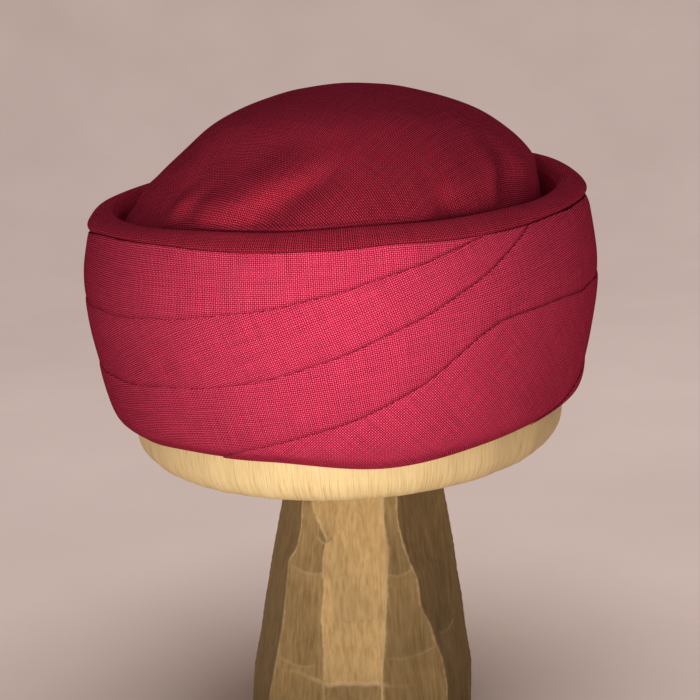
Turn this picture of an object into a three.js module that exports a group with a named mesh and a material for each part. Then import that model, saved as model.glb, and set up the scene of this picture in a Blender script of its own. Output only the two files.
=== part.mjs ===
// A wrapped songkok on its plain wooden stand, in millimetres with +Z up.
// A soft domed crown rises out of a padded band with a rolled top edge. Two long pleats of cloth
// spiral round the band, climb across its front and end under the roll. The hat sits round the oval
// block of the stand, whose hewn post stands on a flat foot at the origin.
import * as THREE from "three";

// Sizes shared by the pieces. Heights in the hat's tables are above the hat's lowest edge,
// and angles are in degrees from the front (-Y), growing towards +X.
const HAT_BASE = 134; // height of the hat's lowest edge above the foot
const OVAL_EXTRA = 15; // half length minus half width of the oval rings
const GAP = 0.35; // clearance between neighbouring pieces
const CLOTH = 1.1; // thickness of one layer of pleated cloth
const LAYER = 1.8; // how far a covered layer lies under the one over it
const TUCK = 7; // how far a pleat reaches under the next one
const LIFT = 2.8; // how far a covered pleat's lower edge stays above the hem
const PLEAT_STEP = 6; // degrees between sections of the band and its pleats
const CREASE = 80; // height where the roll meets the pleats
const RADIANS = Math.PI / 180;

// Outside of the wound band: half width at each height.
const BAND_OUTLINE = [
  { height: 0, halfWidth: 88.9 },
  { height: 5, halfWidth: 94.2 },
  { height: 12, halfWidth: 96.4 },
  { height: 28, halfWidth: 99.6 },
  { height: 54, halfWidth: 102.8 },
  { height: CREASE, halfWidth: 99.2 },
];

// The lower edge rides up at both sides of the front.
const HEM = [
  { angle: -180, height: 3 },
  { angle: -60, height: 2 },
  { angle: -40, height: 3.3 },
  { angle: -20, height: 3.4 },
  { angle: 8, height: 0 },
  { angle: 30, height: 2.2 },
  { angle: 80, height: 4 },
  { angle: 180, height: 3 },
];

// Rise of the rolled top edge, highest at the right of the back.
const RIM_RISE = [
  { angle: -180, rise: 6 },
  { angle: -105, rise: 5 },
  { angle: -50, rise: 0 },
  { angle: 0, rise: 0 },
  { angle: 45, rise: 1 },
  { angle: 120, rise: 8.8 },
  { angle: 180, rise: 6 },
];

// Section of the roll: height above the crease, and depth in from the band's outline.
const ROLL_SECTION = [
  { up: GAP, depth: 1 },
  { up: 1.4, depth: 0.3 },
  { up: 2.8, depth: 1.3 },
  { up: 3.8, depth: 3.2 },
  { up: 4.3, depth: 6.8 },
  { up: 4.2, depth: 9.8 },
  { up: 2.2, depth: 12.4 },
];

// Padded body of the band behind the pleats.
const BAND_RECESS = 3.9; // depth of its outer face behind the outline
const BAND_BOTTOM = 14;
const BAND_HEIGHTS = [BAND_BOTTOM, 24, 38, 52, 66, CREASE - LAYER];
const BAND_INNER_HALF_WIDTH = 89.2;
const BAND_INNER_HEIGHTS = [72, 40, BAND_BOTTOM];

// Upper edge of each pleat, from its start at the hem to its end under the roll.
const FRONT_EDGE = [
  { angle: -24, height: 8 },
  { angle: 4, height: 22.5 },
  { angle: 14, height: 30.5 },
  { angle: 33, height: 49 },
  { angle: 46, height: 51 },
  { angle: 180, height: 52 },
  { angle: 306, height: 53.5 },
  { angle: 338, height: 58 },
  { angle: 359, height: 65 },
  { angle: 384, height: 77 },
  { angle: 390, height: CREASE },
];
const SIDE_EDGE = [
  { angle: 54, height: 7.5 },
  { angle: 78, height: 17 },
  { angle: 110, height: 25 },
  { angle: 296, height: 27.5 },
  { angle: 332, height: 31.7 },
  { angle: 346, height: 36.7 },
  { angle: 385, height: 62.4 },
  { angle: 402, height: CREASE },
];

// Each pleat with the one that lies over its lower edge, which starts lag degrees after it.
const PLEATS = {
  front_pleat: { edge: FRONT_EDGE, start: -24, end: 402, over: "side_pleat", lag: 0 },
  side_pleat: { edge: SIDE_EDGE, start: 54, end: 744, over: "front_pleat", lag: 360 },
};
const EASE_UNDER = 30; // degrees over which a pleat sinks before the next one starts
const SLIVER = 0.5; // a visible strip narrower than this counts as covered
const TUCK_SHARES = [0, 0.4, 1]; // places of the section's points over the tuck
const FACE_SHARES = [1 / 3, 2 / 3, 1]; // and over the face that shows

// Outer half width of the crown, ring by ring up to the top, with its half length minus half width
// and its shift towards +X.
const CROWN_WALL = 1.8;
const CROWN_SECTIONS = 72;
const CROWN_RINGS = [
  { height: 9, halfWidth: 88.8, extra: OVAL_EXTRA, shift: 0 },
  { height: 58, halfWidth: 88.6, extra: OVAL_EXTRA, shift: 0 },
  { height: 72, halfWidth: 86.6, extra: 15.5, shift: -0.6 },
  { height: 80, halfWidth: 83.6, extra: 16.4, shift: -1.6 },
  { height: 86, halfWidth: 80.6, extra: 17.4, shift: -1.4 },
  { height: 92, halfWidth: 78.4, extra: 15, shift: 1.4 },
  { height: 98, halfWidth: 73.7, extra: 11, shift: 3.8 },
  { height: 108, halfWidth: 63.2, extra: 6.5, shift: 5.4 },
  { height: 117, halfWidth: 50.8, extra: 3.5, shift: 5 },
  { height: 124, halfWidth: 33.6, extra: 1.5, shift: 4.8 },
  { height: 128, halfWidth: 16.5, extra: 0.5, shift: 4.8 },
  { height: 129.4, halfWidth: 0, extra: 0, shift: 4.8 },
];
const CROWN_STEPS = [0, 1, 2, 3, 4, 5, 5.5, 6, 6.5, 7, 7.5, 8, 9, 10];

// Folds of the crown cloth: angle at the rim, lean in degrees for each mm upwards, the height
// where the fold dies out, its half spread in degrees and its relief, outwards when positive.
const FOLD_FOOT = 78; // folds fade out below this height
const RIM_HEIGHT = 86;
const CROWN_FOLDS = [
  { angle: -54, lean: 0.4, top: 100, spread: 3.5, relief: -1.6 },
  { angle: -45.5, lean: 0.35, top: 100, spread: 3, relief: 1.4 },
  { angle: -40, lean: 0, top: 101, spread: 2.6, relief: -2 },
  { angle: -33, lean: 0, top: 106, spread: 3.2, relief: 1.8 },
  { angle: -28, lean: 0.17, top: 112, spread: 2.8, relief: -2.8 },
  { angle: -17, lean: 0.42, top: 114, spread: 5, relief: 2.6 },
  { angle: 21, lean: 0, top: 98, spread: 4, relief: 1 },
  { angle: 27.5, lean: 0, top: 95, spread: 3, relief: -2 },
  { angle: 36, lean: 0.1, top: 100, spread: 4, relief: 1.3 },
  { angle: 42.5, lean: 0.15, top: 106, spread: 3, relief: 0.8 },
  { angle: 50, lean: 0.15, top: 106, spread: 3.5, relief: -2.2 },
  { angle: 118, lean: -0.4, top: 106, spread: 5, relief: -1.8 },
  { angle: 205, lean: 0.5, top: 108, spread: 5, relief: 1.8 },
  { angle: 250, lean: 0.6, top: 104, spread: 4.5, relief: -1.6 },
];

// Oval block of the stand, ring by ring from its underside to its hidden top.
const BLOCK_SECTIONS = 48;
const BLOCK_RINGS = [
  { height: -14.2, halfWidth: 75.5 },
  { height: -13.2, halfWidth: 79.5 },
  { height: -10, halfWidth: 84 },
  { height: -5, halfWidth: 86.6 },
  { height: 1, halfWidth: 87.3 },
  { height: 6, halfWidth: 87 },
  { height: 9, halfWidth: 85.6 },
  { height: 11.5, halfWidth: 82 },
  { height: 12.5, halfWidth: 77 },
];

// Hewn post: radius of its corners, angle of the two corners beside its front and back faces,
// and sideways shift, at heights above the foot.
const POST_TURN = -8; // degrees that its front face is turned from -Y
const POST_TOP = HAT_BASE + BLOCK_RINGS[0].height - GAP;
const POST_RINGS = [
  { height: 0, radius: 49.5, faceCorner: 14, sideCorner: 52, shift: -0.8 },
  { height: 17, radius: 49, faceCorner: 14, sideCorner: 52, shift: -0.5 },
  { height: 18.5, radius: 47, faceCorner: 15, sideCorner: 52, shift: -0.4 },
  { height: 74, radius: 38, faceCorner: 21, sideCorner: 42, shift: 2.8 },
  { height: POST_TOP, radius: 29.5, faceCorner: 30, sideCorner: 39, shift: 5.6 },
];

const CLOTH_RED = { color: 0x8e1430, roughness: 0.85, metalness: 0 };
const PALE_WOOD = { color: 0xd2ad62, roughness: 0.7, metalness: 0 };
const HEWN_WOOD = { color: 0x8a6a3c, roughness: 0.75, metalness: 0 };

// Smooth value of one column at a place along another, with no overshoot between rows.
function along(rows, place, column, at) {
  const last = rows.length - 1;
  if (at <= rows[0][place]) return rows[0][column];
  if (at >= rows[last][place]) return rows[last][column];
  const rise = (k) => (rows[k + 1][column] - rows[k][column]) / (rows[k + 1][place] - rows[k][place]);
  const slope = (k) => {
    if (k === 0) return rise(0);
    if (k === last) return rise(last - 1);
    const before = rise(k - 1);
    const after = rise(k);
    return before * after <= 0 ? 0 : (2 * before * after) / (before + after);
  };
  const i = rows.findIndex((row) => row[place] > at) - 1;
  const span = rows[i + 1][place] - rows[i][place];
  const t = (at - rows[i][place]) / span;
  const s = 1 - t;
  return (
    rows[i][column] * (1 + 2 * t) * s * s +
    rows[i + 1][column] * (1 + 2 * s) * t * t +
    span * t * s * (slope(i) * s - slope(i + 1) * t)
  );
}

// The same angle between -180 and 180 degrees.
const turned = (angle) => THREE.MathUtils.euclideanModulo(angle + 180, 360) - 180;

function onOval(angle, halfWidth, height, shift = 0, extra = OVAL_EXTRA) {
  const x = shift + halfWidth * Math.sin(angle * RADIANS);
  const y = -(halfWidth + extra) * Math.cos(angle * RADIANS);
  return new THREE.Vector3(x, y, height);
}

const hemAt = (angle) => along(HEM, "angle", "height", turned(angle));

// Outside of the band at any angle: its outline is stretched down to the hem there.
function bandHalfWidth(angle, height) {
  const hem = hemAt(angle);
  const reach = ((height - hem) * CREASE) / (CREASE - hem);
  return along(BAND_OUTLINE, "height", "halfWidth", reach);
}

// Collects points and faces of one closed body.
class Body {
  points = [];
  faces = [];

  add(point) {
    this.points.push(point.x, point.y, point.z);
    return this.points.length / 3 - 1;
  }

  row(points) {
    return points.map((point) => this.add(point));
  }

  // Faces between two rows of points, to the right of the way along the first row.
  bridge(from, to, closed) {
    const count = closed ? from.length : from.length - 1;
    for (let i = 0; i < count; i++) {
      const j = (i + 1) % from.length;
      this.faces.push(from[i], from[j], to[j], from[i], to[j], to[i]);
    }
  }

  fan(row, tip, outwards) {
    row.forEach((corner, i) => {
      const next = row[(i + 1) % row.length];
      this.faces.push(...(outwards ? [corner, next, tip] : [next, corner, tip]));
    });
  }

  mesh(name, finish) {
    const geometry = new THREE.BufferGeometry();
    geometry.setAttribute("position", new THREE.Float32BufferAttribute(this.points, 3));
    geometry.setIndex(this.faces);
    geometry.computeVertexNormals();
    const mesh = new THREE.Mesh(geometry, new THREE.MeshStandardMaterial(finish));
    mesh.name = name;
    return mesh;
  }
}

// Angles of a whole turn in equal steps.
const turnInto = (count) => Array.from({ length: count }, (_, i) => (360 * i) / count);

// Relief of all the folds at one place of the crown.
function foldRelief(angle, height) {
  const foot = THREE.MathUtils.smoothstep(height, FOLD_FOOT, RIM_HEIGHT);
  return CROWN_FOLDS.reduce((sum, fold) => {
    const off = turned(angle - fold.angle - fold.lean * (height - RIM_HEIGHT)) / fold.spread;
    const fade = 1 - THREE.MathUtils.smoothstep(height, RIM_HEIGHT, fold.top);
    return sum + fold.relief * foot * fade * Math.exp((-off * off) / 2);
  }, 0);
}

// The crown is a cap of cloth, open below: an outer skin and an inner one, joined at the lower edge.
function makeCrown() {
  const rings = CROWN_RINGS.map((ring, step) => ({ ...ring, step }));
  const angles = turnInto(CROWN_SECTIONS);
  const body = new Body();
  const skin = (inset) =>
    CROWN_STEPS.map((step) => {
      const height = along(rings, "step", "height", step);
      const halfWidth = along(rings, "step", "halfWidth", step) - inset;
      const extra = along(rings, "step", "extra", step);
      const shift = along(rings, "step", "shift", step);
      const steep = THREE.MathUtils.smoothstep(height, RIM_HEIGHT, rings.at(-1).height);
      const drop = inset * steep;
      return body.row(
        angles.map((angle) =>
          onOval(angle, halfWidth + foldRelief(angle, height), height - drop, shift, extra),
        ),
      );
    });
  const outer = skin(0);
  const inner = skin(CROWN_WALL);
  const top = rings.at(-1);
  const outerTop = body.add(new THREE.Vector3(top.shift, 0, top.height));
  const innerTop = body.add(new THREE.Vector3(top.shift, 0, top.height - CROWN_WALL));
  for (let i = 0; i + 1 < outer.length; i++) {
    body.bridge(outer[i], outer[i + 1], true);
    body.bridge(inner[i + 1], inner[i], true);
  }
  body.bridge(inner[0], outer[0], true);
  body.fan(outer.at(-1), outerTop, true);
  body.fan(inner.at(-1), innerTop, false);
  return body.mesh("crown", CLOTH_RED);
}

// The band is one padded ring: a recessed outer face, the roll on top and a plain inner face.
function makeBand() {
  const body = new Body();
  const sections = turnInto(360 / PLEAT_STEP).map((angle) => {
    const rise = along(RIM_RISE, "angle", "rise", turned(angle));
    const creaseHalfWidth = bandHalfWidth(angle, CREASE);
    const outer = BAND_HEIGHTS.map((height) =>
      onOval(angle, bandHalfWidth(angle, height) - BAND_RECESS, height),
    );
    const ledge = onOval(angle, creaseHalfWidth - BAND_RECESS, CREASE + GAP);
    const rollHeight = Math.max(...ROLL_SECTION.map((point) => point.up));
    const stretch = 1 + rise / (rollHeight - GAP);
    const roll = ROLL_SECTION.map(({ up, depth }) =>
      onOval(angle, creaseHalfWidth - depth, CREASE + GAP + (up - GAP) * stretch),
    );
    const inner = BAND_INNER_HEIGHTS.map((height) => onOval(angle, BAND_INNER_HALF_WIDTH, height));
    return body.row([...outer, ledge, ...roll, ...inner]);
  });
  sections.forEach((section, i) => {
    body.bridge(sections[(i + 1) % sections.length], section, true);
  });
  return body.mesh("band", CLOTH_RED);
}

const upperEdge = (pleat, angle) =>
  Math.min(along(pleat.edge, "angle", "height", angle), CREASE - GAP);

// Upper edge of the pleat that covers this one here, or undefined where none has started.
function coverEdge(pleat, angle) {
  const over = PLEATS[pleat.over];
  const there = angle - pleat.lag;
  return there < over.start ? undefined : upperEdge(over, there);
}

// Share, from 0 to 1, of the way that a pleat has sunk to let the next one start over it.
function easeUnder(pleat, angle) {
  const begin = PLEATS[pleat.over].start + pleat.lag;
  return THREE.MathUtils.smoothstep(angle, begin - EASE_UNDER, begin);
}

// Lower edge of a pleat, tucked under the next one where that has started.
function lowerEdge(pleat, angle) {
  const free = hemAt(angle) + LIFT * easeUnder(pleat, angle);
  const cover = coverEdge(pleat, angle);
  return cover === undefined ? free : Math.max(free, cover - TUCK);
}

// How far the outside of a pleat lies under the band's outline.
function sink(pleat, angle, height) {
  const over = PLEATS[pleat.over];
  const top = upperEdge(pleat, angle);
  const cover = coverEdge(pleat, angle);
  if (cover === undefined) {
    return (LAYER * easeUnder(pleat, angle) * (top - height)) / (top - hemAt(angle));
  }
  if (height < cover) return LAYER + sink(over, angle - pleat.lag, height);
  return top - cover < SLIVER ? LAYER : (LAYER * (top - height)) / (top - cover);
}

// Heights of a pleat's section, from its tucked or lower edge to its fold.
function pleatHeights(pleat, angle) {
  const low = lowerEdge(pleat, angle);
  const top = upperEdge(pleat, angle);
  const cover = coverEdge(pleat, angle) ?? Math.min(low + TUCK, (low + top) / 2);
  const lip = Math.min(cover, top - SLIVER);
  return [
    ...TUCK_SHARES.map((share) => THREE.MathUtils.lerp(low, lip, share)),
    ...FACE_SHARES.map((share) => THREE.MathUtils.lerp(lip, top, share)),
  ];
}

// A pleat is a long strip of cloth that spirals round the band.
function makePleat(name) {
  const pleat = PLEATS[name];
  const body = new Body();
  const sections = [];
  for (let angle = pleat.start; angle <= pleat.end; angle += PLEAT_STEP) {
    const heights = pleatHeights(pleat, angle);
    const face = (inset) =>
      heights.map((height) => {
        const depth = sink(pleat, angle, height) + inset;
        return onOval(angle, bandHalfWidth(angle, height) - depth, height);
      });
    sections.push([body.row(face(0)), body.row(face(CLOTH))]);
  }
  const loop = ([outer, inner]) => [...outer, ...[...inner].reverse()];
  for (let i = 0; i + 1 < sections.length; i++) {
    body.bridge(loop(sections[i + 1]), loop(sections[i]), true);
  }
  const [firstOuter, firstInner] = sections[0];
  const [lastOuter, lastInner] = sections.at(-1);
  body.bridge(firstOuter, firstInner, false);
  body.bridge(lastInner, lastOuter, false);
  return body.mesh(name, CLOTH_RED);
}

function makeBlock() {
  const body = new Body();
  const angles = turnInto(BLOCK_SECTIONS);
  const rings = BLOCK_RINGS.map(({ height, halfWidth }) =>
    body.row(angles.map((angle) => onOval(angle, halfWidth, height))),
  );
  const under = body.add(new THREE.Vector3(0, 0, BLOCK_RINGS[0].height));
  const top = body.add(new THREE.Vector3(0, 0, BLOCK_RINGS.at(-1).height));
  for (let i = 0; i + 1 < rings.length; i++) {
    body.bridge(rings[i], rings[i + 1], true);
  }
  body.fan(rings[0], under, false);
  body.fan(rings.at(-1), top, true);
  return body.mesh("stand_block", PALE_WOOD);
}

// Ten corners round the post, in pairs on both sides of its front and back faces.
function postAngles({ faceCorner, sideCorner }) {
  const quarter = [faceCorner, sideCorner, 90, 180 - sideCorner, 180 - faceCorner];
  return [...quarter, ...quarter.map((angle) => angle + 180)];
}

function makePost() {
  const body = new Body();
  const rings = POST_RINGS.map((ring) =>
    body.row(
      postAngles(ring).map((angle) => {
        const way = (angle + POST_TURN) * RADIANS;
        const x = ring.shift + ring.radius * Math.sin(way);
        return new THREE.Vector3(x, -ring.radius * Math.cos(way), ring.height);
      }),
    ),
  );
  const [foot, top] = [POST_RINGS[0], POST_RINGS.at(-1)].map((ring) =>
    body.add(new THREE.Vector3(ring.shift, 0, ring.height)),
  );
  for (let i = 0; i + 1 < rings.length; i++) {
    body.bridge(rings[i], rings[i + 1], true);
  }
  body.fan(rings[0], foot, false);
  body.fan(rings.at(-1), top, true);
  return body.mesh("stand_post", HEWN_WOOD);
}

// The hat and its block share heights that start at the hat's lowest edge.
const hatAndBlock = new THREE.Group();
hatAndBlock.position.z = HAT_BASE;
hatAndBlock.add(makeCrown(), makeBand(), ...Object.keys(PLEATS).map(makePleat), makeBlock());

const songkok = new THREE.Group();
songkok.add(hatAndBlock, makePost());

export default songkok;
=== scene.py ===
# %% [markdown]
# # A wound songkok on its wooden stand
#
# The hat is a soft cap of crimson cotton. A domed crown rises out of a padded band, and two long
# pleats of the same cloth are wound round the band and climb across its front. The hat sits round a
# pale oval block on a hewn post. A solid model of all six pieces is loaded first and never moved.
# Each cell after that builds one finer piece in the same place and hides the plain solid it stands for.

# %% Load the solid model
import math

import bmesh
import bpy
import numpy as np
from mathutils import Matrix, Vector


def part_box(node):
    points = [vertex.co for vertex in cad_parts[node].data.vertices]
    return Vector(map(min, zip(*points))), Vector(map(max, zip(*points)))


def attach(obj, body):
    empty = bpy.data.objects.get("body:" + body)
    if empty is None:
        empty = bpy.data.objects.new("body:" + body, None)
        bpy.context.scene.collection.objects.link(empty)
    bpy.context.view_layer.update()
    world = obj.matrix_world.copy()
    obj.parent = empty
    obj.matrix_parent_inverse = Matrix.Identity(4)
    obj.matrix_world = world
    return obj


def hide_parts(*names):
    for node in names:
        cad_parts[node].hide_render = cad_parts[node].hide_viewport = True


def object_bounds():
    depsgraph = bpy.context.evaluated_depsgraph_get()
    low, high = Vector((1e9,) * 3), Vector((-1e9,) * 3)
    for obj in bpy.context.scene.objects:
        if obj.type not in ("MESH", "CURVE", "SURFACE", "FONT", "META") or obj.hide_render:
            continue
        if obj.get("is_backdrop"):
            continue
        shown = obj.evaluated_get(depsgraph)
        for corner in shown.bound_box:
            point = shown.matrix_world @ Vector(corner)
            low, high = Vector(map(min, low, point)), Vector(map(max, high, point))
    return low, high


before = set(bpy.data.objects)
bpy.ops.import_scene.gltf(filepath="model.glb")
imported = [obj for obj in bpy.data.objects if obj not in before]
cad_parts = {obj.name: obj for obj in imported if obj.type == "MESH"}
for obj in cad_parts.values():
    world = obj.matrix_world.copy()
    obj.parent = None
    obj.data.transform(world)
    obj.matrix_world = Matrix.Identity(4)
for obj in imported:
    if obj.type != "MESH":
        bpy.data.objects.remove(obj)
cad_low, cad_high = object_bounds()
MM = 0.001  # tables below are in millimetres, and Blender works in metres
hat_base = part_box("front_pleat")[0].z / MM
print("solids:", ", ".join(sorted(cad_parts)))
print(f"the hat's lowest edge is {hat_base:.1f} mm above the foot")

# %% [markdown]
# ## Smooth curves from short tables
#
# Hand-made things have few straight lines, but a few measured places are enough to describe them.
# A cubic through the rows of a table gives the curve between them. The slopes are chosen so that the
# curve never swings past a row, which keeps cloth from bulging where nothing pushes it.


# %% A smooth curve through the rows of a table
def along(rows, place, column=1):
    """Value of a column at a place, where the first column holds the places."""
    table = np.array(rows, float)
    x, y = table[:, 0], table[:, column]
    rise = np.diff(y) / np.diff(x)
    before, after = rise[:-1], rise[1:]
    same_way = before * after > 0
    slope = np.concatenate([rise[:1], np.zeros(len(x) - 2), rise[-1:]])
    slope[1:-1][same_way] = (2 * before * after)[same_way] / (before + after)[same_way]
    at = np.clip(place, x[0], x[-1])
    i = np.clip(np.searchsorted(x, at, side="right") - 1, 0, len(x) - 2)
    span = x[i + 1] - x[i]
    t = (at - x[i]) / span
    s = 1 - t
    ends = y[i] * (1 + 2 * t) * s * s + y[i + 1] * (1 + 2 * s) * t * t
    return ends + span * t * s * (slope[i] * s - slope[i + 1] * t)


def ease(value, low, high):
    """0 below low, 1 above high, and a soft step between."""
    t = np.clip((value - low) / (high - low), 0, 1)
    return t * t * (3 - 2 * t)


print("halfway between 0 and 10 on a straight table:", along([(0, 0), (2, 10)], 1.0))

# %% [markdown]
# ## The oval, and the unevenness of hand work
#
# Every ring of the hat is the same oval at another size: longer from front to back than from side to
# side. Angles start at the front and grow towards +X. A perfect oval would look machine-made, so slow
# waves with fixed random phases are added to it. All the layers share the same waves, so that no
# layer cuts through the next.

# %% Points on an oval ring
OVAL_EXTRA = 15.0  # half length minus half width of a ring
WAVE_COUNT = 7


def on_oval(angle, half_width, height, shift=0.0, extra=OVAL_EXTRA):
    """Points in metres, from angles in degrees and sizes in millimetres above the hat's lowest edge."""
    turn = np.radians(angle)
    x = shift + half_width * np.sin(turn)
    y = -(half_width + extra) * np.cos(turn)
    return np.stack(np.broadcast_arrays(x, y, hat_base + height), axis=-1) * MM


def waves(angle, height, size, seed, most_turns=14, steepest=0.15):
    """Slow unevenness: a handful of waves round and up the hat with fixed random phases."""
    draw = np.random.default_rng(seed)
    total = 0.0
    for _ in range(WAVE_COUNT):
        turns = draw.integers(2, most_turns)
        climb = draw.uniform(-steepest, steepest)
        phase = draw.uniform(0, 2 * math.pi)
        total = total + np.sin(turns * np.radians(angle) + climb * height + phase)
    return size * total / math.sqrt(WAVE_COUNT)


print("front of a 100 mm ring, in metres:", on_oval(0.0, 100.0, 0.0).round(3))

# %% [markdown]
# ## From rows of points to a mesh
#
# Every piece here is a skin through rows of points, and every row is a closed loop. A ring such as the
# band joins its last row to its first, and anything else is closed at both ends with a fan. The mesh
# is closed, so it could be printed as it is. Cloth also needs to know where each point lay in the flat
# cloth before it was sewn, in millimetres, because the weave follows that. It goes into a UV map.


# %% Skin rows of points
def skin(name, rows, flat=None, ring=False):
    """A closed mesh through rows of loops. flat has one more column, and in a ring one more row."""
    count, around, _ = rows.shape
    i, j = np.meshgrid(np.arange(count if ring else count - 1), np.arange(around), indexing="ij")
    corners = [(i, j), (i + 1, j), (i + 1, j + 1), (i, j + 1)]
    quads = [(a % count) * around + b % around for a, b in corners]
    faces = np.stack(quads, axis=-1).reshape(-1, 4).tolist()
    points = rows.reshape(-1, 3)
    places = [] if flat is None else [np.stack([flat[c] for c in corners], axis=2).reshape(-1, 2)]
    for end in () if ring else (0, count - 1):
        tip = len(points)
        points = np.vstack([points, rows[end].mean(axis=0)])
        faces += [(end * around + k, end * around + (k + 1) % around, tip) for k in range(around)]
        if flat is not None:
            middle = np.broadcast_to(flat[end].mean(axis=0), (around, 2))
            places.append(np.stack([flat[end, :-1], flat[end, 1:], middle], axis=1).reshape(-1, 2))
    mesh = bpy.data.meshes.new(name)
    mesh.from_pydata(points.tolist(), [], faces)
    if flat is not None:
        flat_places = np.vstack(places).astype(np.float32)
        mesh.uv_layers.new(name="flat").data.foreach_set("uv", flat_places.ravel())
    tidy = bmesh.new()
    tidy.from_mesh(mesh)
    bmesh.ops.recalc_face_normals(tidy, faces=tidy.faces)
    tidy.to_mesh(mesh)
    tidy.free()
    mesh.shade_smooth()
    piece = bpy.data.objects.new(name, mesh)
    bpy.context.scene.collection.objects.link(piece)
    print(f"{name}: {len(mesh.polygons)} faces")
    return piece


def keep_on_mesh(piece, name, values):
    """Stores one number for each point of a skin, with the last one repeated for its two tips."""
    padded_values = np.concatenate([values, values[-1:], values[-1:]]).astype(np.float32)
    piece.data.attributes.new(name, "FLOAT", "POINT").data.foreach_set("value", padded_values)


# %% [markdown]
# ## Nodes in few words
#
# Materials are graphs of small nodes. Two helpers keep them readable: one adds any node and fills or
# links its inputs, the other adds a sum. A value that is the same all over a surface is always set on
# the shader itself, so that other programs can read it.


# %% Helpers for material graphs
def add_node(tree, kind, inputs=(), **settings):
    """A node whose inputs are numbers, colours or other nodes' outputs, by name or number."""
    made = tree.nodes.new(kind)
    for key, value in settings.items():
        setattr(made, key, value)
    for key, value in dict(inputs).items():
        if isinstance(value, bpy.types.NodeSocket):
            tree.links.new(value, made.inputs[key])
        else:
            made.inputs[key].default_value = value
    return made


def sum_up(tree, operation, *values):
    """The output of a Math node."""
    return add_node(tree, "ShaderNodeMath", enumerate(values), operation=operation).outputs[0]


def new_material(name, roughness, **sockets):
    """A material with one principled shader, whose constant sockets are set here."""
    made = bpy.data.materials.new(name)
    made.use_nodes = True
    shader = made.node_tree.nodes["Principled BSDF"]
    shader.inputs["Roughness"].default_value = roughness
    for key, value in sockets.items():
        shader.inputs[key.replace("_", " ")].default_value = value
    return made, made.node_tree, shader


def ramp(tree, factor, *stops):
    """Colour from a factor, through stops of (place, colour)."""
    made = add_node(tree, "ShaderNodeValToRGB", {"Fac": factor})
    line = made.color_ramp
    while len(line.elements) < len(stops):
        line.elements.new(0.5)
    for element, (place, colour) in zip(line.elements, stops):
        element.position = place
        element.color = (*colour, 1.0)
    return made.outputs["Color"]


def grain(tree, vector, stretch, detail=3.0, roughness=0.55):
    """Noise in stretched space, as many cells a metre (or a millimetre of cloth) as stretch says."""
    mapping = add_node(tree, "ShaderNodeMapping", {"Vector": vector, "Scale": stretch})
    inputs = {"Vector": mapping.outputs[0], "Scale": 1.0, "Detail": detail, "Roughness": roughness}
    return add_node(tree, "ShaderNodeTexNoise", inputs).outputs["Fac"]


def tinted(tree, colour, factor, low, high):
    """A colour made darker or lighter by a factor from 0 to 1."""
    inputs = {"Value": factor, "To Min": low, "To Max": high}
    share = add_node(tree, "ShaderNodeMapRange", inputs).outputs[0]
    mixed = add_node(tree, "ShaderNodeVectorMath", {0: colour}, operation="SCALE")
    tree.links.new(share, mixed.inputs["Scale"])
    return mixed.outputs[0]


print("helpers ready")

# %% [markdown]
# ## Crimson plain weave
#
# The cloth is a coarse plain weave: each thread passes over one and under the next, and the holes
# between the threads show as dark dots, which are painted shade, while the tops of the threads carry a
# painted pink glint. An image of cloth would repeat and blur, so the weave is worked out from the flat
# cloth's own millimetres: two rows of rounded threads, of which a chequerboard says which one is on
# top. The crossings where one set lies on top are painted lighter than the others, as light and shade.
# Threads are never even, so slow noise along each of them varies the tone. A number called shade on the
# mesh paints shade on the cloth that lies close to a folded edge.

# %% Weave of the hat's cloth
THREAD = 0.72  # spacing of the threads in millimetres
# thread colours: dark in the holes as painted shade, the cloth's own red, pink on the tops as painted
# glint
HOLE_SHADE_RED = (0.180, 0.0020, 0.0126)
THREAD_RED = (0.400, 0.021, 0.054)
TOP_GLINT_RED = (0.680, 0.100, 0.180)
WANDER = 0.9  # how far the threads stray from straight, in threads
# noise cells to the millimetre, for the thick places of the threads that run either way
SLUBS = [(1.5, 0.05, 1.0), (0.05, 1.5, 1.0)]
# share of the colour that is left where each of these is 0, and where it is 1
# the first is painted light and shade: crossings with one set of threads on top are lighter
CROSSING_LIGHT_SHADE_TINT = (0.86, 1.14)
SLUB_TINT = (0.35, 1.65)
CLOUD_TINT = (0.88, 1.12)
# the last is painted shade on the cloth beside the folded edges of the pleats
PAINTED_SHADE_TINT = (1.0, 0.66)


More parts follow.
